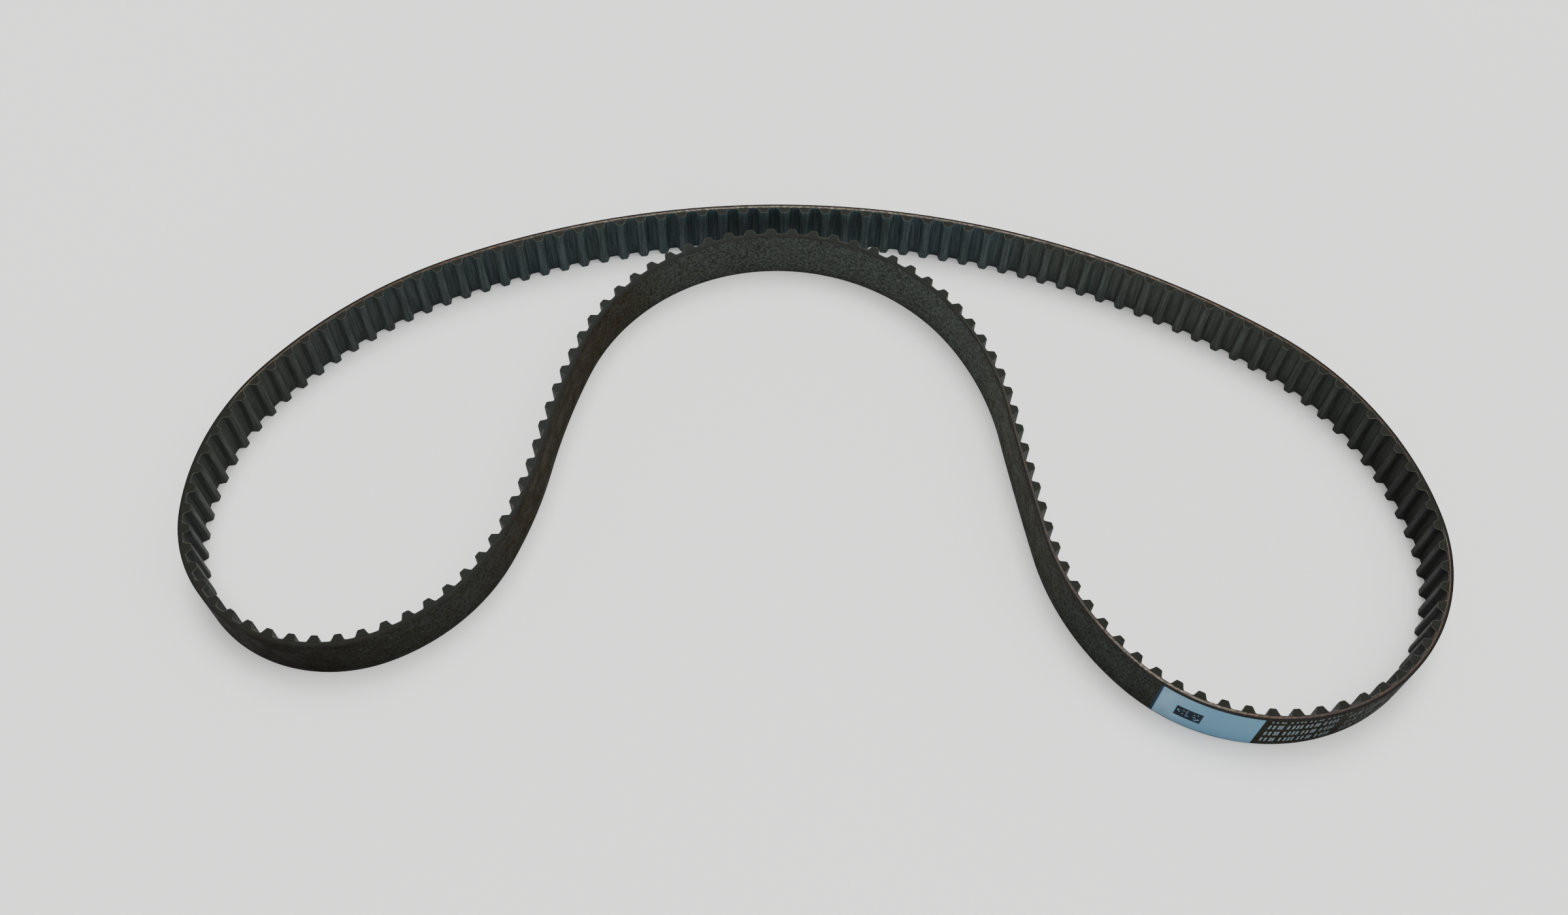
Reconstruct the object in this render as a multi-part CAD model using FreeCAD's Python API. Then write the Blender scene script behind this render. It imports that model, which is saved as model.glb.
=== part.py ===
import FreeCAD, Part
import math
import os

# An endless toothed timing belt standing on its cut edge, let go into the loose
# kidney-shaped loop that a new belt takes when it is unpacked.
# Units are millimetres.  +Z is up, across the belt's width.  The origin is under the
# middle of the loop's bounding box, on the surface that the belt stands on.
# Every layer is placed by its distance `inward` from the cord line: positive is towards
# the teeth (inside the loop), negative is towards the smooth back.

# ---- the belt's standard size ----
PITCH = 9.525
TOOTH_COUNT = 160
BELT_WIDTH = 25.4
BELT_LENGTH = PITCH * TOOTH_COUNT

# ---- layers, as distances inward from the cord line ----
BACK_FACE = -1.35
BED_OUTER = -0.60
BED_INNER = 0.47
CORE_BASE = 0.52
FABRIC_THICKNESS = 0.30
LAND_FACE = CORE_BASE + FABRIC_THICKNESS

# ---- tooth, measured on the fabric ----
TOOTH_HEIGHT = 2.85
BASE_HALF_WIDTH = 2.80
CREST_HALF_WIDTH = 1.45
ROOT_RADIUS = 0.90
CREST_RADIUS = 0.90

# ---- glass cords, wound side by side across the width ----
CORD_COUNT = 18
CORD_RADIUS = 0.45
CORD_CLEARANCE = 0.02
EDGE_RECESS = 0.10

# ---- printed marks on the smooth back ----
PATCH_THICKNESS = 0.10
PATCH_START = 1188.6
PATCH_END = 1229.2
PATCH_MARGIN = 0.60
MARK_THICKNESS = 0.06
CODE_START = 1210.0
CODE_CELL = 0.70
CODE_COLUMNS = 15
CODE_ROWS = 12
CODE_BOTTOM = 7.6
PRINT_START = 1186.0
PRINT_ROWS = [
    # height of the row's middle, height of a mark, group sizes counted from the patch
    (23.3, 1.2, (9, 4, 6)),
    (18.3, 3.8, (8, 5, 7)),
    (11.9, 3.8, (8, 4, 6)),
    (5.5, 3.8, (8, 6, 4)),
]
MARK_STEP = 3.6
MARK_WIDTHS = (2.5, 1.9, 2.8, 2.2)
STROKE_WIDTH = 0.8
GROUP_GAP = 3.4

# ---- the loop, as arcs of the cord line that run into each other without a corner ----
# Each entry is (length, turn in degrees); a positive turn bends towards the smooth back.
# A length of None is worked out so that the loop closes at the belt's exact length.
START_HEADING = 186.0
LOOP_ARCS = [
    (103.0, 65.0),    # crown, from its top down to the left
    (53.0, 10.0),     # left leg, upper half
    (None, -13.0),    # left leg, lower half
    (64.0, -44.0),    # left lobe, inner side
    (120.0, -110.0),  # left lobe, tight front bend
    (75.0, -41.0),    # left lobe, outer side
    (97.0, -28.0),    # left shoulder
    (None, -60.0),    # long back span
    (108.0, -46.0),   # right shoulder
    (194.0, -143.0),  # right lobe
    (67.0, -34.0),    # right lobe, inner side
    (None, -2.0),     # right leg, almost straight
    (53.0, 24.0),     # right leg, upper half
    (103.0, 62.0),    # crown, back up to its top
]

UP = FreeCAD.Vector(0, 0, 1)


def left_of(heading):
    """Unit vector 90 degrees to the left of a heading in degrees."""
    angle = math.radians(heading)
    return FreeCAD.Vector(-math.sin(angle), math.cos(angle), 0)


class Arc:
    """One arc of the cord line, from `begin` on, where s counts along the whole loop."""

    def __init__(self, begin, start, heading, length, turn):
        self.begin = begin
        self.end = begin + length
        self.heading = heading
        self.turn = turn
        self.degrees_per_mm = turn / length
        self.radius = 1.0 / math.radians(self.degrees_per_mm)
        self.centre = start + left_of(heading) * self.radius

    def point(self, s, inward, z):
        left = left_of(self.heading + self.degrees_per_mm * (s - self.begin))
        return self.centre - left * (self.radius + inward) + UP * z


def step_per_mm(heading, turn):
    """Mean direction along an arc, with the length it uses up as the third number."""
    chord = left_of(heading) - left_of(heading + turn)
    step = chord * (1.0 / math.radians(turn))
    return FreeCAD.Vector(step.x, step.y, 1.0)


def arc_lengths():
    """The arcs' lengths, with the three open ones solved so that the loop closes."""
    heading = START_HEADING
    missing = FreeCAD.Vector(0, 0, BELT_LENGTH)
    open_steps = []
    for length, turn in LOOP_ARCS:
        step = step_per_mm(heading, turn)
        if length is None:
            open_steps.append(step)
        else:
            missing = missing - step * length
        heading += turn
    first, second, third = open_steps
    volume = first.dot(second.cross(third))
    solved = [
        missing.dot(second.cross(third)) / volume,
        missing.dot(third.cross(first)) / volume,
        missing.dot(first.cross(second)) / volume,
    ]
    return [solved.pop(0) if length is None else length for length, turn in LOOP_ARCS]


def lay_loop(start):
    """The loop's arcs, laid end to end from a start point."""
    arcs = []
    position = start
    heading = START_HEADING
    begin = 0.0
    for length, (_, turn) in zip(arc_lengths(), LOOP_ARCS):
        arc = Arc(begin, position, heading, length, turn)
        arcs.append(arc)
        position = arc.point(arc.end, 0, 0)
        heading += turn
        begin += length
    return arcs


def outline_edge(arc, s0, s1, inward, z):
    """The line that runs along part of one arc at a fixed distance inward."""
    middle = (s0 + s1) / 2
    curve = Part.Arc(arc.point(s0, inward, z), arc.point(middle, inward, z), arc.point(s1, inward, z))
    return curve.toShape()


def centred_loop():
    """The loop moved so that its back face's bounding box is centred on the origin."""
    trial = lay_loop(FreeCAD.Vector(0, 0, 0))
    edges = [outline_edge(arc, arc.begin, arc.end, BACK_FACE, 0) for arc in trial]
    box = Part.Compound(edges).optimalBoundingBox()
    return lay_loop(FreeCAD.Vector(-box.Center.x, -box.Center.y, 0))


LOOP = centred_loop()


def place(s, inward, z=0.0):
    """The point at a distance s along the belt, on a layer and at a height."""
    s = s % BELT_LENGTH
    for arc in LOOP:
        if s <= arc.end:
            return arc.point(s, inward, z)
    return LOOP[-1].point(s, inward, z)


# ---- sweeping a cross-section along the belt ----
# A cross-section is the list of its corners as (inward, z) points, joined by straight
# lines and closed from the last one to the first.

def section_edges(corners, arc, s):
    points = [arc.point(s, inward, z) for inward, z in corners]
    return [Part.LineSegment(points[i - 1], points[i]).toShape() for i in range(len(points))]


def swept_ring(corners):
    """An endless solid: the cross-section carried once round the whole loop."""
    faces = []
    for arc in LOOP:
        for edge in section_edges(corners, arc, arc.begin):
            faces.append(edge.revolve(arc.centre, UP, arc.turn))
    skin = Part.Compound(faces)
    skin.sewShape()
    solid = Part.Solid(skin.Shells[0])
    if solid.Volume < 0:
        solid.reverse()
    return solid


def swept_strip(corners, s0, s1):
    """A short solid: the cross-section carried from s0 to s1, inside one arc."""
    for arc in LOOP:
        if arc.begin <= s0 and s1 <= arc.end:
            section = Part.Face(Part.Wire(section_edges(corners, arc, s0)))
            return section.revolve(arc.centre, UP, arc.degrees_per_mm * (s1 - s0))
    raise ValueError("a strip must lie inside one arc")


def box_section(inner, outer, bottom, top):
    return [(inner, bottom), (outer, bottom), (outer, top), (inner, top)]


# ---- layers of the belt ----

def backing_rubber():
    return swept_ring(box_section(BED_OUTER, BACK_FACE, 0, BELT_WIDTH))


def cord_heights():
    """Heights of the cords' middles; the cut edges slice the first and last in half."""
    spacing = (BELT_WIDTH - 2 * EDGE_RECESS) / (CORD_COUNT - 1)
    return [EDGE_RECESS + spacing * i for i in range(CORD_COUNT)]


def round_corners(radius, z, first, last):
    """Corners of an eight-sided round, as eighths of a turn from the teeth's side up."""
    corners = []
    for eighth in range(first, last + 1):
        angle = math.radians(45 * eighth)
        corners.append((radius * math.cos(angle), z + radius * math.sin(angle)))
    return corners


def cords(first):
    """Every second cord across the width, counted from the first or second one."""
    heights = cord_heights()
    sections = [round_corners(CORD_RADIUS, z, 0, 7) for z in heights]
    sections[0] = round_corners(CORD_RADIUS, heights[0], 0, 4)
    sections[-1] = round_corners(CORD_RADIUS, heights[-1], 4, 8)
    return Part.Compound([swept_ring(section) for section in sections[first::2]])


def cord_bed():
    """The rubber between the cords: a strip with a U-shaped groove for each one."""
    groove = CORD_RADIUS + CORD_CLEARANCE
    heights = cord_heights()
    corners = [(BED_OUTER, heights[0])]
    corners += reversed(round_corners(groove, heights[0], 2, 4))
    for z in heights[1:-1]:
        corners.append((BED_INNER, corners[-1][1]))
        corners.append((BED_INNER, z - groove))
        corners += reversed(round_corners(groove, z, 2, 6))
    corners.append((BED_INNER, corners[-1][1]))
    corners.append((BED_INNER, heights[-1] - groove))
    corners += reversed(round_corners(groove, heights[-1], 4, 6))
    corners.append((BED_OUTER, heights[-1]))
    return swept_ring(corners)


# ---- teeth ----
# A tooth profile is a list of pieces as (along, inward) points, `along` being counted
# from the tooth's middle.

FLANK_ANGLE = math.degrees(math.atan((BASE_HALF_WIDTH - CREST_HALF_WIDTH) / TOOTH_HEIGHT))


def round_point(centre, radius, degrees):
    angle = math.radians(degrees)
    return (centre[0] + radius * math.cos(angle), centre[1] + radius * math.sin(angle))


def crest_round(half_width, crest, radius):
    """The rounded corner between the flank and the flat crest, on the near side."""
    trim = radius * math.tan(math.radians(90 - FLANK_ANGLE) / 2)
    centre = (-(half_width - trim), crest - radius)
    start = 180 - FLANK_ANGLE
    return tuple(round_point(centre, radius, angle) for angle in (start, (start + 90) / 2, 90))


def root_round():
    """The rounded corner between the land and the flank, on the near side."""
    trim = ROOT_RADIUS * math.tan(math.radians(90 - FLANK_ANGLE) / 2)
    centre = (-(BASE_HALF_WIDTH + trim), LAND_FACE + ROOT_RADIUS)
    end = -FLANK_ANGLE
    return tuple(round_point(centre, ROOT_RADIUS, angle) for angle in (-90, (end - 90) / 2, end))


def both_sides(near_side):
    """A profile made whole: the near side, the flat crest and the mirrored far side."""
    far_side = []
    for piece in reversed(near_side):
        far_side.append(tuple((-along, inward) for along, inward in reversed(piece)))
    crest = (near_side[-1][-1], far_side[0][0])
    return near_side + [crest] + far_side


def fabric_profile():
    """The tooth as seen: the open face of the fabric."""
    root = root_round()
    crest = crest_round(CREST_HALF_WIDTH, LAND_FACE + TOOTH_HEIGHT, CREST_RADIUS)
    return both_sides([root, (root[-1], crest[0]), crest])


def core_profile():
    """The rubber under the fabric, one fabric thickness inside the flanks and crest."""
    flank = math.radians(FLANK_ANGLE)
    inset = FABRIC_THICKNESS / math.cos(flank) - FABRIC_THICKNESS * math.tan(flank)
    crest_level = LAND_FACE + TOOTH_HEIGHT - FABRIC_THICKNESS
    crest_radius = CREST_RADIUS - FABRIC_THICKNESS
    crest = crest_round(CREST_HALF_WIDTH - inset, crest_level, crest_radius)
    base = (-(BASE_HALF_WIDTH - inset), CORE_BASE)
    return both_sides([(base, crest[0]), crest])


def tooth_edges(profile, tooth, z):
    middle = (tooth + 0.5) * PITCH
    edges = []
    for piece in profile:
        points = [place(middle + along, inward, z) for along, inward in piece]
        if len(points) == 2:
            edges.append(Part.LineSegment(*points).toShape())
        else:
            edges.append(Part.Arc(*points).toShape())
    return edges


def toothed_wire(profile, z):
    """The closed outline of one side of the fabric, tooth after tooth."""
    edges = []
    for tooth in range(TOOTH_COUNT):
        edges.extend(tooth_edges(profile, tooth, z))
        land_start = place((tooth + 0.5) * PITCH + profile[-1][-1][0], profile[-1][-1][1], z)
        land_end = place((tooth + 1.5) * PITCH + profile[0][0][0], profile[0][0][1], z)
        edges.append(Part.LineSegment(land_start, land_end).toShape())
    return Part.Wire(edges)


def facing_fabric():
    rubber_side = toothed_wire(core_profile(), EDGE_RECESS)
    open_side = toothed_wire(fabric_profile(), EDGE_RECESS)
    face = Part.makeFace([rubber_side, open_side], "Part::FaceMakerBullseye")
    return face.extrude(UP * (BELT_WIDTH - 2 * EDGE_RECESS))


def tooth_cores():
    profile = core_profile()
    solids = []
    for tooth in range(TOOTH_COUNT):
        edges = tooth_edges(profile, tooth, 0)
        base_start = place((tooth + 0.5) * PITCH + profile[-1][-1][0], CORE_BASE)
        base_end = place((tooth + 0.5) * PITCH + profile[0][0][0], CORE_BASE)
        edges.append(Part.LineSegment(base_start, base_end).toShape())
        solids.append(Part.Face(Part.Wire(edges)).extrude(UP * BELT_WIDTH))
    return Part.Compound(solids)


# ---- printed marks ----

def mark(s0, s1, bottom, top, under):
    """One thin printed mark whose inner side lies on the layer `under`."""
    return swept_strip(box_section(under, under - MARK_THICKNESS, bottom, top), s0, s1)


def label_patch():
    face = BACK_FACE - PATCH_THICKNESS
    section = box_section(BACK_FACE, face, PATCH_MARGIN, BELT_WIDTH - PATCH_MARGIN)
    return swept_strip(section, PATCH_START, PATCH_END)


def code_cell_filled(column, row):
    """A made-up speckle inside a solid frame; it carries no data."""
    on_frame = column in (0, CODE_COLUMNS - 1) or row in (0, CODE_ROWS - 1)
    speckle = 3 * column * column * row + 5 * row * row + 7 * column + row * column
    return on_frame or speckle % 13 < 10


def label_code():
    """The block pattern, each run of filled cells in a row being one mark."""
    marks = []
    for row in range(CODE_ROWS):
        bottom = CODE_BOTTOM + row * CODE_CELL
        column = 0
        while column < CODE_COLUMNS:
            start = column
            while column < CODE_COLUMNS and code_cell_filled(column, row):
                column += 1
            if column > start:
                s0 = CODE_START + start * CODE_CELL
                s1 = CODE_START + column * CODE_CELL
                marks.append(mark(s0, s1, bottom, bottom + CODE_CELL, BACK_FACE - PATCH_THICKNESS))
            column += 1
    return Part.Compound(marks)


def print_row(height, mark_height, groups):
    """A row of plain upright strokes, two to a mark, in groups counted from the patch."""
    bottom = height - mark_height / 2
    top = height + mark_height / 2
    strokes = []
    s = PRINT_START
    for group in groups:
        for i in range(group):
            far_side = s - MARK_WIDTHS[i % len(MARK_WIDTHS)]
            strokes.append(mark(s - STROKE_WIDTH, s, bottom, top, BACK_FACE))
            strokes.append(mark(far_side, far_side + STROKE_WIDTH, bottom, top, BACK_FACE))
            s -= MARK_STEP
        s -= GROUP_GAP
    return Part.Compound(strokes)


def main():
    os.makedirs("parts", exist_ok=True)
    nodes = {
        "backing_rubber": backing_rubber(),
        "cord_bed_rubber": cord_bed(),
        "s_twist_glass_cord": cords(0),
        "z_twist_glass_cord": cords(1),
        "tooth_cores": tooth_cores(),
        "facing_fabric": facing_fabric(),
        "label_patch": label_patch(),
        "label_code": label_code(),
    }
    for number, (height, mark_height, groups) in enumerate(PRINT_ROWS, start=1):
        nodes["print_row_%d" % number] = print_row(height, mark_height, groups)
    for name, shape in nodes.items():
        shape.exportStep("parts/%s.step" % name)
        print(name, "valid", shape.isValid(), "solids", len(shape.Solids), "mm3", round(shape.Volume, 1))


main()
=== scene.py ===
import math

import bmesh
import bpy
import numpy as np
from mathutils import Matrix, Vector


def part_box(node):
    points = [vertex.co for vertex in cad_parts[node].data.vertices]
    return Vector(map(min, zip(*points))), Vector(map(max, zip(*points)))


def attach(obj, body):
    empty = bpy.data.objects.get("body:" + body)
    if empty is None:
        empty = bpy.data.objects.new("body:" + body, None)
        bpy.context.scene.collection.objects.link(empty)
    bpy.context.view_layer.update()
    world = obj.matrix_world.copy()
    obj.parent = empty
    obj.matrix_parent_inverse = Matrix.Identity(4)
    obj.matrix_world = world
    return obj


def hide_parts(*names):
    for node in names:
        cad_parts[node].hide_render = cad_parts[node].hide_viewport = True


# The looks of an endless toothed timing belt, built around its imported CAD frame.
# Lengths are metres.  A place on the belt is a distance s along the cord line, a layer
# as a distance inward from that line (positive towards the teeth, negative towards the
# smooth back), and a height z above the floor.

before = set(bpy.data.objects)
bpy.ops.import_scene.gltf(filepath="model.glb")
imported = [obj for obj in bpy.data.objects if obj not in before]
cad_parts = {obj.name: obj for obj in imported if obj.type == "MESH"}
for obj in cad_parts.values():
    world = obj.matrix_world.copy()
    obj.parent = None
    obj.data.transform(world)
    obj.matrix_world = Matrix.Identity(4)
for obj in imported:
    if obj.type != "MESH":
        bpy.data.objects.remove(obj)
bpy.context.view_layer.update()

MM = 0.001

# ---- the belt's size, as in the CAD model ----
PITCH = 9.525 * MM
TOOTH_COUNT = 160
BELT_LENGTH = PITCH * TOOTH_COUNT
BELT_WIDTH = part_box("backing_rubber")[1].z

BACK_FACE = -1.35 * MM
BED_OUTER = -0.60 * MM
CORE_BASE = 0.52 * MM
LAND_FACE = 0.82 * MM
TOOTH_HEIGHT = 2.85 * MM
BASE_HALF_WIDTH = 2.80 * MM
CREST_HALF_WIDTH = 1.45 * MM
ROOT_RADIUS = 0.90 * MM
CREST_RADIUS = 0.90 * MM
FABRIC_THICKNESS = LAND_FACE - CORE_BASE
CORD_RADIUS = 0.45 * MM

# ---- the loop, as arcs of the cord line: (length in millimetres, turn in degrees) ----
# The three lengths of None are worked out so that the loop closes at the belt's length.
START_HEADING = 186.0
LOOP_ARCS = [
    (103.0, 65.0),    # crown, from its top down to the left
    (53.0, 10.0),     # left leg, upper half
    (None, -13.0),    # left leg, lower half
    (64.0, -44.0),    # left lobe, inner side
    (120.0, -110.0),  # left lobe, tight front bend
    (75.0, -41.0),    # left lobe, outer side
    (97.0, -28.0),    # left shoulder
    (None, -60.0),    # long back span
    (108.0, -46.0),   # right shoulder
    (194.0, -143.0),  # right lobe
    (67.0, -34.0),    # right lobe, inner side
    (None, -2.0),     # right leg, almost straight
    (53.0, 24.0),     # right leg, upper half
    (103.0, 62.0),    # crown, back up to its top
]

# ---- how finely the pieces are divided, and the angle in degrees at which an edge is sharp ----
BAND_STEP = 1.0 * MM
HIDDEN_CORD_STEP = 6.0 * MM
CORD_SIDES = 10
WELD_DISTANCE = 0.002 * MM
SHORTEST_EDGE = 0.001 * MM
SHARP_ANGLE = 50.0

# ---- where each wound cord meets the cut edges ----
# Both cords climb slowly round the belt.  Each number is the distance run along the
# loop, turn after turn, where the cord starts to come out of the lower edge, is whole,
# starts to go out of the upper edge, and has gone.
S_CORD_RUN = [904.0 * MM, 1374.0 * MM, 14164.0 * MM, 14750.0 * MM]
Z_CORD_RUN = [1518.0 * MM, 1988.0 * MM, 14778.0 * MM, 15140.0 * MM]
CUT_DEPTH = 0.02 * MM

# ---- levels round the loop: (distance s in millimetres, level from 0 to 1) ----
# How much painted light and shade the smooth back gets, and how brown it is; how much painted
# light and shade the facing gets, and how blue it is; how far the sliced glass of each cord is
# bare of its resin dip, and how light the slice is.
# The smooth back's level is painted light and shade: lighter where light falls on the loop, darker
# where it falls away.
BACK_LIGHT_AND_SHADE = [
    (0, 0.90), (45, 0.74), (90, 0.43), (165, 0.33), (235, 0.38), (315, 0.14), (520, 0.30),
    (760, 0.40), (1000, 0.33), (1140, 0.17), (1200, 0.45), (1260, 0.51), (1315, 0.57),
    (1385, 0.83), (1455, 1.0), (1524, 0.92),
]
BACK_BROWN = [
    (0, 0.0), (45, 0.22), (90, 0.72), (165, 1.0), (235, 0.34), (315, 0.60), (520, 0.60),
    (1000, 0.60), (1140, 0.90), (1190, 0.60), (1260, 0.20), (1315, 0.38), (1385, 0.26),
    (1455, 0.0), (1524, 0.05),
]
# The facing's level is painted light and shade: lighter where light reaches the teeth, darker
# where the crown and the bends shade them.
FACING_LIGHT_AND_SHADE = [
    (0, 0.6), (300, 0.15), (440, 0.27), (500, 0.40), (560, 0.47), (630, 0.68), (690, 0.82),
    (740, 0.84), (790, 0.78), (840, 0.57), (930, 0.45), (1010, 0.155), (1050, 0.06),
    (1150, 0.06), (1230, 0.20), (1524, 0.6),
]
FACING_BLUE = [
    (0, 0.3), (400, 0.1), (500, 0.35), (600, 0.60), (680, 0.85), (770, 0.85), (840, 0.2),
    (1000, 0.0), (1200, 0.0), (1524, 0.3),
]
S_CUT_BARE = [
    (0, 0.1), (440, 0.3), (600, 1.0), (760, 0.9), (880, 0.8), (960, 0.45), (1040, 0.2),
    (1200, 0.1), (1524, 0.1),
]
Z_CUT_BARE = [
    (0, 0.1), (1050, 0.1), (1190, 0.15), (1212, 0.9), (1256, 0.8), (1275, 0.25), (1400, 0.2),
    (1524, 0.1),
]
S_CUT_TONE = [
    (0, 0.6), (440, 0.8), (600, 1.0), (900, 1.0), (1040, 0.60), (1100, 0.42), (1180, 0.50),
    (1524, 0.6),
]
Z_CUT_TONE = [
    (0, 0.4), (1050, 0.50), (1120, 0.45), (1180, 0.60), (1205, 0.95), (1250, 0.85),
    (1285, 0.38), (1400, 0.30), (1524, 0.4),
]

# ---- the print on the smooth back, at distances s in millimetres ----
# Where the patch grows dimmer, where its dark border ends, where the rows fade and how
# much of their ink is gone there; and the grain's level at which each ink starts to go.
PATCH_DIMS = (1229, 1206)
PATCH_BORDER_ENDS = (1228.4, 1227.9)
ROWS_FADE = (1180, 1146)
ROWS_FADED = 0.80
PATCH_WEAR = 0.72
CODE_WEAR = 0.74
ROW_WEAR = 0.53
PRINT_ROW_COUNT = 4

# ---- the cut faces are lighter and bluer round a place on the floor, in millimetres ----
BLUE_CUT_PLACE = (-60.0, 20.0)
BLUE_CUT_REACH = (60.0, 220.0)

# ---- sizes of the fabric's and the cords' texture, in millimetres ----
THREAD_REPEAT = 0.84
TWIST_REPEAT = 1.2
STRAND_LENGTH = 1.8

# ---- camera: lens and sensor in millimetres, angles in degrees ----
CAMERA_LENS = 35.6
CAMERA_SENSOR = 36.0
CAMERA_TARGET = (-12.7 * MM, 2.9 * MM, 0.0)
CAMERA_ELEVATION = 59.53
CAMERA_ROLL = 1.23
CAMERA_DISTANCE = 678.0 * MM
CAMERA_CLIP = 10.0 * MM

# ---- floor and light ----
FLOOR_REACH = 12.0
# name, direction towards the lamp, width in degrees, strength
LAMPS = [
    ("overhead", (0.05, 0.05, 1.8), 45.0, 3.60),
    ("rear_overhead", (0.05, 0.7, 1.5), 27.0, 1.75),
    ("right_fill", (1.1, -0.1, 1.3), 26.0, 0.78),
]
# how bright the surround is, up to one height and from another on; 0 is level, 1 is overhead
HORIZON_LIGHT = 1.32
HORIZON_HEIGHT = 0.02
ZENITH_LIGHT = 0.25
ZENITH_HEIGHT = 0.30


# ---------------------------------------------------------------------------
# the loop
# ---------------------------------------------------------------------------

def left_of(heading):
    """Unit vectors 90 degrees to the left of headings in degrees."""
    angle = np.radians(heading)
    return np.stack([-np.sin(angle), np.cos(angle)], axis=-1)


class Loop:
    """The cord line, as tangent arcs laid where the CAD band lies."""

    def __init__(self):
        self.turns = np.array([turn for _, turn in LOOP_ARCS])
        self.headings = START_HEADING + np.cumsum(self.turns) - self.turns
        steps = left_of(self.headings) - left_of(self.headings + self.turns)
        self.steps = steps / np.radians(self.turns)[:, None]
        self.lengths = self.arc_lengths()
        self.begins = np.cumsum(self.lengths) - self.lengths
        self.radii = self.lengths / np.radians(self.turns)
        self.centres = self.arc_centres(np.zeros(2))
        self.centres = self.arc_centres(self.shift_to_cad())

    def arc_lengths(self):
        """All lengths; the unknown ones make the loop end where it begins."""
        known = np.array([(length or 0.0) * MM for length, _ in LOOP_ARCS])
        unknown = np.array([length is None for length, _ in LOOP_ARCS])
        rows = np.column_stack([self.steps, np.ones(len(known))])
        missing = np.array([0.0, 0.0, BELT_LENGTH]) - known @ rows
        known[unknown] = np.linalg.solve(rows[unknown].T, missing)
        return known

    def arc_centres(self, start):
        """The arcs' centres, for a loop that begins at a point."""
        moves = self.steps * self.lengths[:, None]
        starts = start + np.cumsum(moves, axis=0) - moves
        return starts + left_of(self.headings) * self.radii[:, None]

    def shift_to_cad(self):
        """The move that puts the loop's middle where the CAD band has its middle."""
        s = np.arange(0.0, BELT_LENGTH, 0.5 * MM)
        back = self.place(s, BACK_FACE, 0.0)
        low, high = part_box("backing_rubber")
        cad_middle = np.array([low.x + high.x, low.y + high.y]) / 2
        own_middle = (back.min(axis=0) + back.max(axis=0))[:2] / 2
        return cad_middle - own_middle

    def place(self, s, inward, z):
        """Points at distances s along the loop, on layers and at heights."""
        s, inward, z = np.broadcast_arrays(np.mod(s, BELT_LENGTH), inward, z)
        arc = np.searchsorted(self.begins, s, side="right") - 1
        turned = self.turns[arc] * (s - self.begins[arc]) / self.lengths[arc]
        left = left_of(self.headings[arc] + turned)
        flat = self.centres[arc] - left * (self.radii[arc] + inward)[..., None]
        return np.concatenate([flat, z[..., None]], axis=-1)


LOOP = Loop()


# ---------------------------------------------------------------------------
# meshes
# ---------------------------------------------------------------------------

def closed_skin(name, points, uv, materials, strip_materials, endless=True, marks=None):
    """A piece whose skin is a net of quads.

    points[station, corner] are the cross-sections' corners; uv has one more row and
    one more column than they do.  The section is always closed; an endless skin also
    joins its last station to the first, any other one ends in sections that have
    shrunk to a point.  marks are numbers kept at every point, by name, for a material.
    """
    stations, corners = points.shape[:2]
    rows = np.arange(stations if endless else stations - 1)
    row, column = np.meshgrid(rows, np.arange(corners), indexing="ij")
    next_row = (row + 1) % stations
    next_column = (column + 1) % corners
    quads = np.stack(
        [
            row * corners + column,
            row * corners + next_column,
            next_row * corners + next_column,
            next_row * corners + column,
        ],
        axis=-1,
    ).reshape(-1, 4)
    corner_uv = np.stack(
        [
            uv[row, column],
            uv[row, column + 1],
            uv[row + 1, column + 1],
            uv[row + 1, column],
        ],
        axis=-2,
    ).reshape(-1, 2)

    mesh = bpy.data.meshes.new(name)
    mesh.from_pydata(points.reshape(-1, 3), [], quads)
    layer = mesh.uv_layers.new(name="along_across")
    layer.data.foreach_set("uv", corner_uv.astype(np.float32).ravel())
    material_index = np.array(strip_materials, np.int32)[column]
    mesh.polygons.foreach_set("material_index", material_index.ravel())
    for mark, values in (marks or {}).items():
        layer = mesh.attributes.new(mark, "FLOAT", "POINT")
        layer.data.foreach_set("value", np.ascontiguousarray(values, np.float32).ravel())
    for material in materials:
        mesh.materials.append(material)
    tidy_skin(mesh)
    piece = bpy.data.objects.new(name, mesh)
    bpy.context.scene.collection.objects.link(piece)
    return piece


def tidy_skin(mesh):
    """Joins doubled points, drops empty faces and turns the skin outside out."""
    net = bmesh.new()
    net.from_mesh(mesh)
    bmesh.ops.remove_doubles(net, verts=net.verts, dist=WELD_DISTANCE)
    bmesh.ops.dissolve_degenerate(net, edges=net.edges, dist=SHORTEST_EDGE)
    if net.calc_volume(signed=True) < 0:
        bmesh.ops.reverse_faces(net, faces=net.faces)
    net.to_mesh(mesh)
    net.free()
    mesh.polygons.foreach_set("use_smooth", [True] * len(mesh.polygons))
    mesh.set_sharp_from_angle(angle=math.radians(SHARP_ANGLE))


def walked(corners):
    """The distance of each corner of an outline from the first one, along the outline."""
    edges = np.linalg.norm(np.diff(corners, axis=0), axis=1)
    return np.concatenate([[0.0], np.cumsum(edges)])


def band(name, section, materials, strip_materials):
    """An endless band: one cross-section of (inward, z) corners all round the loop."""
    stations = int(round(BELT_LENGTH / BAND_STEP))
    s = np.linspace(0.0, BELT_LENGTH, stations + 1)
    section = np.array(section)
    points = LOOP.place(s[:-1, None], section[None, :, 0], section[None, :, 1])
    across = walked(np.vstack([section, section[:1]]))
    uv = np.stack(np.meshgrid(s, across, indexing="ij"), axis=-1)
    return closed_skin(name, points, uv, materials, strip_materials)


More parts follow.
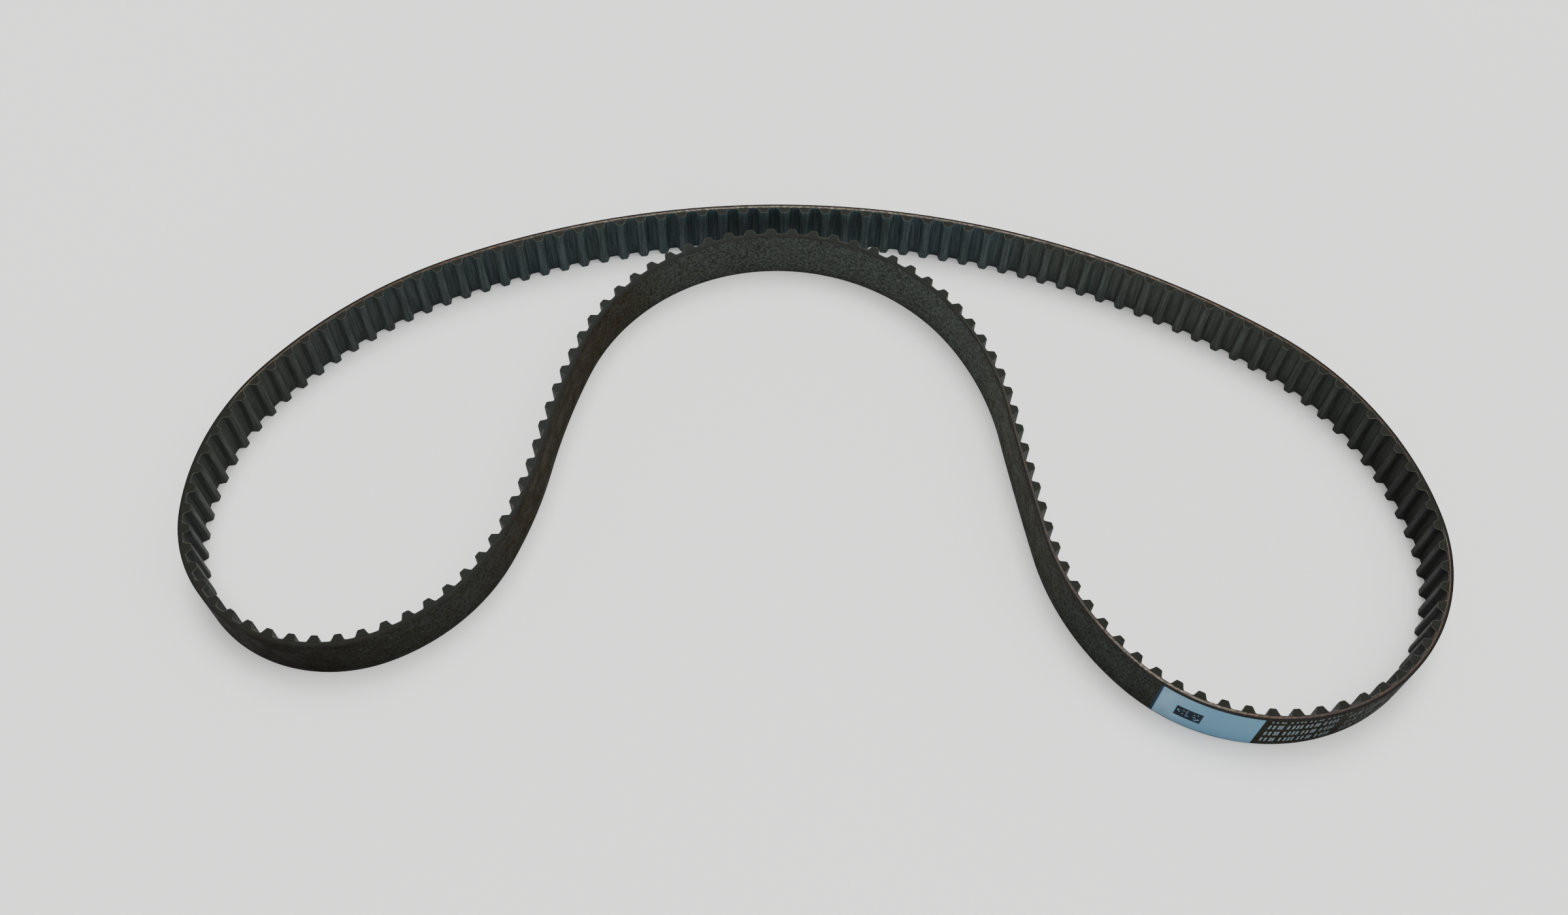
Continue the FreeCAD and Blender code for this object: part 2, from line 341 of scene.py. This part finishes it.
def moulded_back(materials):
    """The backing rubber, with its two outer corners slightly worn round."""
    worn = 0.12 * MM
    ease = 0.035 * MM
    heights = np.linspace(worn, BELT_WIDTH - worn, 7)
    section = [(BED_OUTER, 0.0), (BACK_FACE + worn, 0.0), (BACK_FACE + ease, ease)]
    section += [(BACK_FACE, z) for z in heights]
    section += [(BACK_FACE + ease, BELT_WIDTH - ease)]
    section += [(BACK_FACE + worn, BELT_WIDTH), (BED_OUTER, BELT_WIDTH)]
    strip_materials = [1] + [0] * (len(section) - 4) + [1, 1, 1]
    return band("moulded_back", section, materials, strip_materials)


def cord_bed(materials):
    """The rubber that holds the cords, cut a hair below them."""
    low, high = 2 * CUT_DEPTH, BELT_WIDTH - 2 * CUT_DEPTH
    section = [(CORE_BASE, low), (BED_OUTER, low), (BED_OUTER, high), (CORE_BASE, high)]
    return band("cord_bed", section, materials, [0, 0, 0, 0])


# ---- wound cords ----

def cord_section(height, low, high):
    """Corners of a round cord at a height, sliced by the two cut edges.

    The corners run round from the upper slice to the lower one and back, so that
    their number never changes; where nothing is sliced off, a slice has no length.
    """
    up = np.arcsin(np.clip((high - height) / CORD_RADIUS, -1.0, 1.0))
    down = np.arcsin(np.clip((height - low) / CORD_RADIUS, -1.0, 1.0))
    half = CORD_SIDES // 2 + 1
    share = np.linspace(0.0, 1.0, half)
    near = np.pi - up[:, None] + share[None, :] * (up + down)[:, None]
    far = -down[:, None] + share[None, :] * (up + down)[:, None]
    angles = np.concatenate([near, far], axis=1)
    inward = CORD_RADIUS * np.cos(angles)
    z = height[:, None] + CORD_RADIUS * np.sin(angles)
    return inward, z


def cord_run_stations(run):
    """Distances run: close together where the cord shows, wide apart inside."""
    shows_low = np.arange(run[0], run[1], BAND_STEP)
    hidden = np.arange(run[1], run[2], HIDDEN_CORD_STEP)
    shows_high = np.linspace(run[2], run[3], int(round((run[3] - run[2]) / BAND_STEP)) + 1)
    return np.concatenate([shows_low, hidden, shows_high])


def wound_cord(name, run, materials):
    """One glass cord from where it leaves the lower edge to where it leaves the upper."""
    low, high = CUT_DEPTH, BELT_WIDTH - CUT_DEPTH
    along = cord_run_stations(run)
    heights = [low - CORD_RADIUS, low + CORD_RADIUS, high - CORD_RADIUS, high + CORD_RADIUS]
    height = np.interp(along, run, heights)
    inward, z = cord_section(height, low, high)
    points = LOOP.place(along[:, None], inward, z)
    section = np.stack([inward, z], axis=-1)
    outline = np.concatenate([section, section[:, :1]], axis=1)
    across = np.stack([walked(corners) for corners in outline])
    uv = np.stack([np.broadcast_to(along[:, None], across.shape), across], axis=-1)
    half = CORD_SIDES // 2 + 1
    strip_materials = [0] * (half - 1) + [1] + [0] * (half - 1) + [1]
    from_edge = np.minimum(np.abs(height - low), np.abs(high - height))
    cut_depth = np.clip(1.0 - from_edge / CORD_RADIUS, 0.0, 1.0)
    marks = {"cut_depth": np.broadcast_to(cut_depth[:, None], inward.shape)}
    return closed_skin(name, points, uv, materials, strip_materials, endless=False, marks=marks)


# ---- woven facing ----

def arc_points(centre, radius, first, last, count):
    """Points on an arc between two angles in degrees, with the outward normals."""
    angle = np.radians(np.linspace(first, last, count))
    normal = np.column_stack([np.cos(angle), np.sin(angle)])
    return np.array(centre) + radius * normal, normal


def tooth_profile():
    """One pitch of the fabric, from mid-land to mid-land, as (along, inward) points.

    Gives the open side, the rubber side and the open side's unit normals.
    """
    slope = math.atan((BASE_HALF_WIDTH - CREST_HALF_WIDTH) / TOOTH_HEIGHT)
    flank = math.degrees(slope)
    trim_share = math.tan(math.radians(90 - flank) / 2)
    inset = FABRIC_THICKNESS / math.cos(slope) - FABRIC_THICKNESS * math.tan(slope)
    root_start = -(BASE_HALF_WIDTH + ROOT_RADIUS * trim_share)
    crest_end = -(CREST_HALF_WIDTH - CREST_RADIUS * trim_share)
    crest_face = LAND_FACE + TOOTH_HEIGHT

    land = np.linspace(-PITCH / 2, root_start, 4)[:-1]
    land = np.column_stack([land, np.full(len(land), LAND_FACE)])
    land_normal = np.tile([0.0, 1.0], (len(land), 1))
    root_centre = (root_start, LAND_FACE + ROOT_RADIUS)
    root, root_normal = arc_points(root_centre, ROOT_RADIUS, -90, -flank, 5)
    crest_centre = (crest_end, crest_face - CREST_RADIUS)
    crest, crest_normal = arc_points(crest_centre, CREST_RADIUS, 180 - flank, 90, 5)
    side = np.linspace(root[-1], crest[0], 5)[1:-1]
    side_normal = np.repeat(crest_normal[:1], len(side), axis=0)
    top = np.linspace(crest_end, 0.0, 3)[1:]
    top = np.column_stack([top, np.full(len(top), crest_face)])
    top_normal = np.tile([0.0, 1.0], (len(top), 1))

    near = np.vstack([land, root, side, crest, top])
    normals = np.vstack([land_normal, -root_normal, side_normal, crest_normal, top_normal])
    rubber = near - normals * FABRIC_THICKNESS
    on_root = slice(len(land), len(land) + len(root))
    corner = -(BASE_HALF_WIDTH - inset)
    rubber[on_root, 0] = np.linspace(root_start, corner, len(root))
    rubber[on_root, 1] = CORE_BASE

    mirror = np.array([-1.0, 1.0])
    far_side = slice(-2, 0, -1)
    open_side = np.vstack([near, near[far_side] * mirror])
    rubber_side = np.vstack([rubber, rubber[far_side] * mirror])
    normal = np.vstack([normals, normals[far_side] * mirror])
    return open_side, rubber_side, normal


def walk_over(open_side):
    """Distances along the fabric over one tooth, up to the start of the next tooth."""
    return walked(np.vstack([open_side, open_side[:1] + [PITCH, 0.0]]))


def facing_length():
    """The fabric's length if it were pulled flat."""
    return TOOTH_COUNT * walk_over(tooth_profile()[0])[-1]


def woven_facing(materials):
    """The fabric over all the teeth, as one endless skin with a little worn edge."""
    open_side, rubber_side, normal = tooth_profile()
    middles = (np.arange(TOOTH_COUNT) + 0.5) * PITCH
    low, high = CUT_DEPTH, BELT_WIDTH - CUT_DEPTH
    worn = 0.10 * MM
    heights = np.concatenate([[low], np.linspace(low + worn, high - worn, 6), [high]])
    sunk = np.zeros(len(heights))
    sunk[[0, -1]] = 0.06 * MM

    def lay(profile):
        """The profile of one tooth, repeated for every tooth of the belt."""
        along = (middles[:, None] + profile[None, :, 0]).ravel()
        inward = np.tile(profile[:, 1], TOOTH_COUNT)
        return along, inward

    columns = []
    for height, depth in zip(heights, sunk):
        along, inward = lay(open_side - normal * depth)
        columns.append(LOOP.place(along, inward, height))
    rubber_along, rubber_inward = lay(rubber_side)
    for height in (high, low):
        columns.append(LOOP.place(rubber_along, rubber_inward, height))
    points = np.stack(columns, axis=1)

    over_tooth = walk_over(open_side)
    teeth = np.arange(TOOTH_COUNT)[:, None]
    flat_along = (teeth * over_tooth[-1] + over_tooth[None, :-1]).ravel()
    flat_along = np.append(flat_along, TOOTH_COUNT * over_tooth[-1])
    flat_across = np.append(heights, high + FABRIC_THICKNESS * np.arange(1, 4))
    uv = np.stack(np.meshgrid(flat_along, flat_across, indexing="ij"), axis=-1)

    strip_materials = [0] * (len(heights) - 1) + [1, 1, 1]
    rise = np.tile((open_side[:, 1] - LAND_FACE) / TOOTH_HEIGHT, TOOTH_COUNT)
    marks = {"rise": np.broadcast_to(rise[:, None], points.shape[:2])}
    return closed_skin("woven_facing", points, uv, materials, strip_materials, marks=marks)


# ---------------------------------------------------------------------------
# materials
# ---------------------------------------------------------------------------

class Finish:
    """A material, with short calls for the nodes that its colour and relief need."""

    def __init__(self, name, roughness=0.7, specular=0.3):
        self.material = bpy.data.materials.new(name)
        self.material.use_nodes = True
        self.tree = self.material.node_tree
        self.shader = self.tree.nodes["Principled BSDF"]
        self.shader.inputs["Roughness"].default_value = roughness
        self.shader.inputs["Specular IOR Level"].default_value = specular

    def node(self, kind, inputs=None, **settings):
        """A new node with its settings, and its inputs linked or set."""
        node = self.tree.nodes.new(kind)
        for key, value in settings.items():
            setattr(node, key, value)
        for key, value in (inputs or {}).items():
            self.give(node.inputs[key], value)
        return node

    def give(self, socket, value):
        if isinstance(value, bpy.types.NodeSocket):
            self.tree.links.new(value, socket)
        else:
            socket.default_value = value

    def position(self, size):
        """The point on the belt, counted in cells of a size (one number or three)."""
        if isinstance(size, float):
            size = (size, size, size)
        point = self.node("ShaderNodeNewGeometry").outputs["Position"]
        return self.product(point, tuple(1.0 / part for part in size))

    def flat(self, size):
        """The point along and across the belt, counted in cells of a size."""
        point = self.node("ShaderNodeUVMap", uv_map="along_across").outputs["UV"]
        return self.product(point, (1.0 / size[0], 1.0 / size[1], 1.0))

    def flat_axes(self):
        """The distances along and across the belt, in millimetres."""
        axes = self.node("ShaderNodeSeparateXYZ", {0: self.flat((1 * MM, 1 * MM))})
        return axes.outputs[0], axes.outputs[1]

    def mark(self, name):
        """A number kept at the mesh's points under a name."""
        return self.node("ShaderNodeAttribute", attribute_name=name).outputs["Fac"]

    def round_the_loop(self, levels, length=BELT_LENGTH):
        """A level that changes smoothly along the belt, from (s in millimetres, level) pairs.

        length is that of the skin the material is on, laid flat.
        """
        along = self.node("ShaderNodeSeparateXYZ", {0: self.flat((length, 1.0))}).outputs[0]
        turn = self.math("FRACT", along)
        curve = self.node("ShaderNodeFloatCurve", {"Value": turn})
        points = curve.mapping.curves[0].points
        for s, level in levels[1:-1]:
            points.new(s * MM / BELT_LENGTH, level)
        points[0].location = (0.0, levels[0][1])
        points[-1].location = (1.0, levels[-1][1])
        curve.mapping.update()
        return curve.outputs["Value"]

    def noise(self, vector, detail=2.0, roughness=0.5):
        inputs = {"Vector": vector, "Scale": 1.0, "Detail": detail, "Roughness": roughness}
        return self.node("ShaderNodeTexNoise", inputs).outputs["Fac"]

    def math(self, operation, first, second=0.0, third=0.0):
        inputs = {0: first, 1: second, 2: third}
        return self.node("ShaderNodeMath", inputs, operation=operation).outputs[0]

    def span(self, value, low, high, to_low=0.0, to_high=1.0):
        """The value stretched so that low..high becomes to_low..to_high, with soft ends."""
        inputs = {"Value": value, "From Min": low, "From Max": high}
        inputs.update({"To Min": to_low, "To Max": to_high})
        return self.node("ShaderNodeMapRange", inputs, interpolation_type="SMOOTHSTEP").outputs[0]

    def mix(self, share, first, second):
        """A colour between two colours: the first where the share is 0."""
        node = self.node("ShaderNodeMix", data_type="RGBA")
        self.give(node.inputs["Factor"], share)
        self.give(node.inputs[6], first)
        self.give(node.inputs[7], second)
        return node.outputs[2]

    def scaled(self, colour, level):
        """A colour made darker everywhere by a level of at most one."""
        level = self.node("ShaderNodeCombineXYZ", {0: level, 1: level, 2: level}).outputs[0]
        return self.product(colour, level)

    def product(self, first, second):
        """Two vectors or colours multiplied, channel by channel."""
        inputs = {0: first, 1: second}
        return self.node("ShaderNodeVectorMath", inputs, operation="MULTIPLY").outputs[0]

    def away_from(self, place, near, far):
        """0 within a distance of a place on the floor, 1 beyond another; in millimetres."""
        inputs = {0: self.position((1 * MM, 1 * MM, 1.0)), 1: (place[0], place[1], 0.0)}
        distance = self.node("ShaderNodeVectorMath", inputs, operation="DISTANCE").outputs["Value"]
        return self.span(distance, near, far)

    def colour(self, value):
        self.give(self.shader.inputs["Base Color"], value)

    def roughness(self, value):
        self.give(self.shader.inputs["Roughness"], value)

    def relief(self, height, depth, strength=1.0, under=None):
        """Bumps of a depth where height goes from 0 to 1, on top of other bumps."""
        inputs = {"Height": height, "Distance": depth, "Strength": strength}
        if under is not None:
            inputs["Normal"] = under
        bump = self.node("ShaderNodeBump", inputs).outputs["Normal"]
        self.give(self.shader.inputs["Normal"], bump)
        return bump


def rgb(red, green, blue):
    return (red, green, blue, 1.0)


def dimmed(colour, factors):
    """A colour whose three channels are multiplied by factors."""
    return tuple(factor * part for factor, part in zip(factors, colour[:3])) + (1.0,)


# ---- linear colours; a pair is the dark and the light end of a material's grain ----
DUSTY_RUBBER = (rgb(0.0168, 0.0198, 0.0176), rgb(0.0624, 0.0714, 0.0645))
BROWN_RUBBER = (rgb(0.0225, 0.0180, 0.0085), rgb(0.062, 0.0495, 0.0240))
RUBBER_SPECK = rgb(0.10, 0.108, 0.10)
RUBBED_RUBBER = rgb(0.026, 0.027, 0.024)
CUT_BACKING = (rgb(0.003, 0.003, 0.0025), rgb(0.010, 0.009, 0.0075))
CUT_CORE = (rgb(0.0046, 0.0057, 0.0045), rgb(0.0130, 0.0150, 0.0112))
BLUE_CUT_TINT = rgb(1.18, 1.20, 1.26)
BROWN_CUT_TINT = rgb(0.86, 0.79, 0.71)
THREAD_ENDS = (rgb(0.014, 0.015, 0.012), rgb(0.066, 0.063, 0.050))
BARE_GLASS = (rgb(0.040, 0.030, 0.022), rgb(0.190, 0.155, 0.122))
DIPPED_GLASS = (rgb(0.0170, 0.0080, 0.0032), rgb(0.088, 0.037, 0.010))
DIPPED_YARN = (rgb(0.16, 0.09, 0.05), rgb(0.42, 0.30, 0.20))
FLOOR_PAINT = (rgb(0.80, 0.80, 0.79), rgb(0.83, 0.83, 0.82))

# ---- the facing's colours: a pair is plain nylon and bluish nylon ----
NYLON_ON_LAND = (rgb(0.058, 0.066, 0.056), rgb(0.024, 0.044, 0.051))
NYLON_ON_TOOTH = (rgb(0.040, 0.048, 0.041), rgb(0.031, 0.048, 0.052))
NYLON_RUBBED = (rgb(0.150, 0.178, 0.154), rgb(0.114, 0.168, 0.180))

# ---- the print: ink, and what shows where the ink is worn ----
PATCH_INK = rgb(0.188, 0.312, 0.412)
PATCH_WORN = rgb(0.03, 0.033, 0.03)
PATCH_DIMMING = (0.60, 0.76, 0.82)
PATCH_BORDER = rgb(0.012, 0.022, 0.045)
CODE_INK = rgb(0.009, 0.015, 0.022)
CODE_WORN = rgb(0.05, 0.07, 0.085)
ROW_INK = rgb(0.165, 0.220, 0.250)
ROW_WORN = rgb(0.0150, 0.0150, 0.0115)
INK_CLOUDING = (0.88, 0.88, 0.88)


def ground_rubber():
    """The smooth back: rubber ground to thickness, finely speckled, dusty in places, with painted
    light and shade.
    """
    finish = Finish("ground_rubber", specular=0.03)
    grain = finish.noise(finish.position(1.2 * MM), detail=4.0, roughness=0.8)
    fine = finish.noise(finish.position(0.3 * MM), detail=1.0)
    blotch = finish.noise(finish.position((7 * MM, 7 * MM, 5 * MM)), detail=3.0, roughness=0.6)
    speckle = finish.span(grain, 0.38, 0.62)
    dusty = finish.mix(speckle, *DUSTY_RUBBER)
    brown = finish.mix(speckle, *BROWN_RUBBER)
    brownness = finish.round_the_loop(BACK_BROWN)
    brownness = finish.math("ADD", brownness, finish.span(blotch, 0.4, 0.75, -0.05, 0.20))
    colour = finish.mix(finish.span(brownness, 0.0, 1.0), dusty, brown)
    specks = finish.span(finish.noise(finish.position(0.9 * MM), detail=0.0), 0.70, 0.78, 0.0, 0.5)
    colour = finish.mix(specks, colour, RUBBER_SPECK)
    # Painted light and shade: the back's colour is darkened round the loop where less light falls
    # on it.
    colour = finish.scaled(colour, finish.round_the_loop(BACK_LIGHT_AND_SHADE))
    height = finish.node("ShaderNodeSeparateXYZ", {0: finish.position(1 * MM)}).outputs[2]
    from_edge = finish.math("MINIMUM", height, finish.math("SUBTRACT", BELT_WIDTH / MM, height))
    near_edge = finish.span(from_edge, 1.1, 0.4)
    rubbed = finish.math("MULTIPLY", near_edge, finish.span(blotch, 0.35, 0.6, 0.1, 0.7))
    finish.colour(finish.mix(rubbed, colour, RUBBED_RUBBER))
    finish.roughness(finish.span(blotch, 0.3, 0.7, 0.62, 0.82))
    under = finish.relief(grain, 0.06 * MM, 0.8)
    finish.relief(fine, 0.02 * MM, 0.5, under)
    return finish.material


def cut_rubber(name, dark, light):
    """Rubber where a knife went through it: matt, finely grained, tinted by place."""
    finish = Finish(name, specular=0.12)
    grain = finish.noise(finish.position(0.35 * MM), detail=3.0, roughness=0.65)
    patch = finish.noise(finish.position(4 * MM), detail=2.0)
    share = finish.math("MULTIPLY_ADD", patch, 0.5, finish.math("MULTIPLY", grain, 0.6))
    colour = finish.mix(finish.span(share, 0.35, 0.75), dark, light)
    away = finish.away_from(BLUE_CUT_PLACE, *BLUE_CUT_REACH)
    tint = finish.mix(away, BLUE_CUT_TINT, BROWN_CUT_TINT)
    finish.colour(finish.product(colour, tint))
    finish.roughness(finish.span(patch, 0.3, 0.7, 0.6, 0.8))
    finish.relief(grain, 0.04 * MM, 0.6)
    return finish.material


def nylon_weave(length):
    """Stretched nylon twill: ribs across the belt, dotted where the threads cross; with painted
    light and shade.
    """
    finish = Finish("nylon_weave", roughness=0.55, specular=0.13)
    along, across = finish.flat_axes()
    repeat = 2 * math.pi / THREAD_REPEAT
    rising = finish.math("MULTIPLY", finish.math("ADD", along, across), repeat)
    falling = finish.math("MULTIPLY", finish.math("SUBTRACT", along, across), repeat)
    crossing = finish.math("MULTIPLY", finish.math("SINE", rising), finish.math("SINE", falling))
    dots = finish.span(crossing, -0.6, 0.7)
    ribs = finish.noise(finish.flat((0.9 * MM, 24 * MM)), detail=3.0, roughness=0.7)
    frayed = finish.noise(finish.flat((0.8 * MM, 2.2 * MM)), detail=2.0)
    tint = finish.noise(finish.position(60 * MM), detail=2.0)
    rise = finish.span(finish.mark("rise"), 0.0, 0.8)
    blue = finish.round_the_loop(FACING_BLUE, length)
    blue = finish.math("ADD", blue, finish.span(tint, 0.3, 0.7, -0.2, 0.2))
    blue = finish.span(blue, 0.0, 1.0)
    dark = finish.mix(rise, finish.mix(blue, *NYLON_ON_LAND), finish.mix(blue, *NYLON_ON_TOOTH))
    light = finish.mix(blue, *NYLON_RUBBED)
    worn = finish.span(frayed, 0.25, 0.7, 0.5, 1.0)
    share = finish.math("MULTIPLY", finish.span(ribs, 0.36, 0.66), worn)
    share = finish.math("MULTIPLY", share, finish.span(dots, 0.0, 1.0, 0.15, 1.3))
    share = finish.math("MULTIPLY", share, finish.span(rise, 0.0, 1.0, 0.7, 0.85))
    # Painted light and shade: the facing's colour is darkened round the loop where less light
    # falls on it.
    tone = finish.round_the_loop(FACING_LIGHT_AND_SHADE, length)
    finish.colour(finish.scaled(finish.mix(share, dark, light), tone))
    finish.roughness(finish.span(ribs, 0.3, 0.7, 0.65, 0.50))
    under = finish.relief(dots, 0.07 * MM, 0.8)
    finish.relief(ribs, 0.10 * MM, 0.7, under)
    return finish.material


def nylon_cut():
    """The facing's cut edge: ends of pale threads in dark rubber."""
    finish = Finish("nylon_cut", roughness=0.8, specular=0.2)
    threads = finish.noise(finish.position(0.25 * MM), detail=1.0)
    patch = finish.noise(finish.position(3 * MM), detail=2.0)
    thread_ends = finish.span(threads, 0.35, 0.65)
    share = finish.math("MULTIPLY", thread_ends, finish.span(patch, 0.3, 0.6, 0.4, 1.0))
    finish.colour(finish.mix(share, *THREAD_ENDS))
    finish.relief(threads, 0.05 * MM, 0.8)
    return finish.material


def glass_cut(name, lean, bare, tone):
    """A cord sliced lengthwise: bare glass in places, brown resin dip elsewhere.

    lean is 1 or -1, for the way the strands slant; bare and tone are levels round the loop.
    """
    finish = Finish(name, roughness=0.6, specular=0.3)
    along, across = finish.flat_axes()
    slant = finish.math("MULTIPLY_ADD", across, lean, along)
    slant = finish.math("DIVIDE", slant, STRAND_LENGTH)
    vector = finish.node("ShaderNodeCombineXYZ", {0: slant, 1: across}).outputs[0]
    strands = finish.noise(vector, detail=2.0, roughness=0.6)
    long_patch = finish.noise(finish.flat((9 * MM, 1 * MM)), detail=2.0)
    depth = finish.span(finish.mark("cut_depth"), 0.25, 0.8)
    fresh = finish.span(long_patch, 0.3, 0.6, 0.4, 1.0)
    glass = finish.math("MULTIPLY", finish.span(strands, 0.42, 0.62), fresh)
    core = finish.mix(glass, *BARE_GLASS)
    dip = finish.mix(glass, *DIPPED_GLASS)
    bare_core = finish.math("MULTIPLY", depth, finish.round_the_loop(bare))
    finish.colour(finish.scaled(finish.mix(bare_core, dip, core), finish.round_the_loop(tone)))
    finish.relief(strands, 0.06 * MM, 0.7)
    return finish.material


def glass_yarn(name, lean):
    """The outside of a twisted glass cord in its tan resin dip."""
    finish = Finish(name, roughness=0.55, specular=0.4)
    along, across = finish.flat_axes()
    twist = finish.math("MULTIPLY_ADD", across, lean, along)
    strands = finish.math("SINE", finish.math("MULTIPLY", twist, 2 * math.pi / TWIST_REPEAT))
    share = finish.span(strands, -0.9, 0.9)
    finish.colour(finish.mix(share, *DIPPED_YARN))
    finish.relief(share, 0.06 * MM, 1.0)
    return finish.material


def worn_print(name, ink, under, wear, fade=None, slope=None, border=None):
    """Ink on ground rubber, thin enough for the rubber's grain to show through.

    wear is the grain's level at which the ink starts to go.  fade is a pair of x
    positions between which the ink gives way to the rubber; slope is such a pair
    between which the ink is dimmed, with the factors; border is such a pair between
    which a border's colour gives way to the ink, with that colour.
    """
    finish = Finish(name, roughness=0.65, specular=0.05)
    grain = finish.noise(finish.position(0.45 * MM), detail=3.0, roughness=0.7)
    cloud = finish.noise(finish.position(5 * MM), detail=2.0)
    tone = finish.mix(finish.span(cloud, 0.3, 0.7), ink, dimmed(ink, INK_CLOUDING))
    bare = finish.span(grain, wear, wear + 0.14)
    x = finish.node("ShaderNodeSeparateXYZ", {0: finish.position(1.0)}).outputs[0]
    if slope:
        tone = finish.mix(finish.span(x, slope[0], slope[1]), tone, dimmed(ink, slope[2]))
    if border:
        tone = finish.mix(finish.span(x, border[0], border[1]), border[2], tone)
    if fade:
        faded = finish.span(x, fade[0], fade[1], 0.0, ROWS_FADED)
        bare = finish.math("MAXIMUM", bare, faded)
    finish.colour(finish.mix(bare, tone, under))
    finish.relief(grain, 0.03 * MM, 0.4)
    return finish.material


def pale_floor():
    """Pale matt board, very faintly clouded."""
    finish = Finish("pale_floor", roughness=0.9, specular=0.1)
    cloud = finish.noise(finish.position(400 * MM), detail=2.0)
    finish.colour(finish.mix(cloud, *FLOOR_PAINT))
    return finish.material


# ---------------------------------------------------------------------------
# stage
# ---------------------------------------------------------------------------

def make_camera():
    """A camera in front of the belt, looking down on it."""
    elevation = math.radians(CAMERA_ELEVATION)
    roll = math.radians(CAMERA_ROLL)
    side = np.array([1.0, 0.0, 0.0])
    up = np.array([0.0, math.sin(elevation), math.cos(elevation)])
    back = np.array([0.0, -math.cos(elevation), math.sin(elevation)])
    right = math.cos(roll) * side + math.sin(roll) * up
    top = math.cos(roll) * up - math.sin(roll) * side
    camera = bpy.data.objects.new("camera", bpy.data.cameras.new("camera"))
    camera.data.lens = CAMERA_LENS
    camera.data.sensor_width = CAMERA_SENSOR
    camera.data.clip_start = CAMERA_CLIP
    matrix = np.eye(4)
    matrix[:3, 0] = right
    matrix[:3, 1] = top
    matrix[:3, 2] = back
    matrix[:3, 3] = np.array(CAMERA_TARGET) + back * CAMERA_DISTANCE
    camera.matrix_world = Matrix(matrix.tolist())
    bpy.context.scene.collection.objects.link(camera)
    bpy.context.scene.camera = camera


def soft_light(name, towards, spread, strength):
    """A wide far-off light from a direction; spread is its width in degrees."""
    lamp = bpy.data.lights.new(name, "SUN")
    lamp.angle = math.radians(spread)
    lamp.energy = strength
    light = bpy.data.objects.new(name, lamp)
    light.location = towards
    light.rotation_euler = Vector(towards).to_track_quat("Z", "Y").to_euler()
    bpy.context.scene.collection.objects.link(light)


def make_stage():
    """The floor, the surround and the lamps."""
    mesh = bpy.data.meshes.new("floor")
    quadrants = [(-1, -1), (1, -1), (1, 1), (-1, 1)]
    corners = [(x * FLOOR_REACH, y * FLOOR_REACH, 0.0) for x, y in quadrants]
    mesh.from_pydata(corners, [], [(0, 1, 2, 3)])
    mesh.materials.append(pale_floor())
    floor = bpy.data.objects.new("floor", mesh)
    bpy.context.scene.collection.objects.link(floor)
    light_the_world()
    for lamp in LAMPS:
        soft_light(*lamp)


def light_the_world():
    """A pale surround, bright round the horizon and dimmer overhead."""
    world = bpy.data.worlds.new("studio")
    world.use_nodes = True
    nodes, links = world.node_tree.nodes, world.node_tree.links
    direction = nodes.new("ShaderNodeTexCoord").outputs["Generated"]
    split = nodes.new("ShaderNodeSeparateXYZ")
    links.new(direction, split.inputs[0])
    fade = nodes.new("ShaderNodeMapRange")
    fade.inputs["From Min"].default_value = HORIZON_HEIGHT
    fade.inputs["From Max"].default_value = ZENITH_HEIGHT
    fade.inputs["To Min"].default_value = HORIZON_LIGHT
    fade.inputs["To Max"].default_value = ZENITH_LIGHT
    links.new(split.outputs["Z"], fade.inputs["Value"])
    links.new(fade.outputs[0], nodes["Background"].inputs["Strength"])
    nodes["Background"].inputs["Color"].default_value = (1.0, 1.0, 1.0, 1.0)
    bpy.context.scene.world = world


# ---------------------------------------------------------------------------
# putting it together
# ---------------------------------------------------------------------------

def stand_for(piece, node):
    """Puts a piece in the place of a CAD node."""
    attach(piece, "root")
    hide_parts(node)


def finish_node(node, material):
    """Gives a CAD node that stays a material of its own."""
    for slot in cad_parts[node].material_slots:
        slot.material = material


def x_on_back(distances):
    """The x positions of places on the smooth back, from distances s in millimetres."""
    return [float(LOOP.place(s * MM, BACK_FACE, 0.0)[0]) for s in distances]


def build_band():
    """The rubber, the two cords and the facing."""
    cut_back = cut_rubber("cut_backing", *CUT_BACKING)
    cut_core = cut_rubber("cut_core", *CUT_CORE)
    stand_for(moulded_back([ground_rubber(), cut_back]), "backing_rubber")
    stand_for(cord_bed([cut_core]), "cord_bed_rubber")
    s_glass = [glass_yarn("s_yarn", 1.0), glass_cut("s_cut", 1.0, S_CUT_BARE, S_CUT_TONE)]
    s_cord = wound_cord("s_twist_cord", S_CORD_RUN, s_glass)
    stand_for(s_cord, "s_twist_glass_cord")
    z_glass = [glass_yarn("z_yarn", -1.0), glass_cut("z_cut", -1.0, Z_CUT_BARE, Z_CUT_TONE)]
    z_cord = wound_cord("z_twist_cord", Z_CORD_RUN, z_glass)
    stand_for(z_cord, "z_twist_glass_cord")
    nylon = [nylon_weave(facing_length()), nylon_cut()]
    stand_for(woven_facing(nylon), "facing_fabric")
    finish_node("tooth_cores", cut_core)


def print_on_back():
    """Inks for the patch, its code and the rows beside it."""
    slope = x_on_back(PATCH_DIMS) + [PATCH_DIMMING]
    border = x_on_back(PATCH_BORDER_ENDS) + [PATCH_BORDER]
    patch = worn_print("patch_ink", PATCH_INK, PATCH_WORN, PATCH_WEAR, slope=slope, border=border)
    finish_node("label_patch", patch)
    finish_node("label_code", worn_print("code_ink", CODE_INK, CODE_WORN, CODE_WEAR))
    fade = x_on_back(ROWS_FADE)
    for row in range(1, PRINT_ROW_COUNT + 1):
        ink = worn_print("row_ink_%d" % row, ROW_INK, ROW_WORN, ROW_WEAR, fade=fade)
        finish_node("print_row_%d" % row, ink)


build_band()
print_on_back()
make_camera()
make_stage()
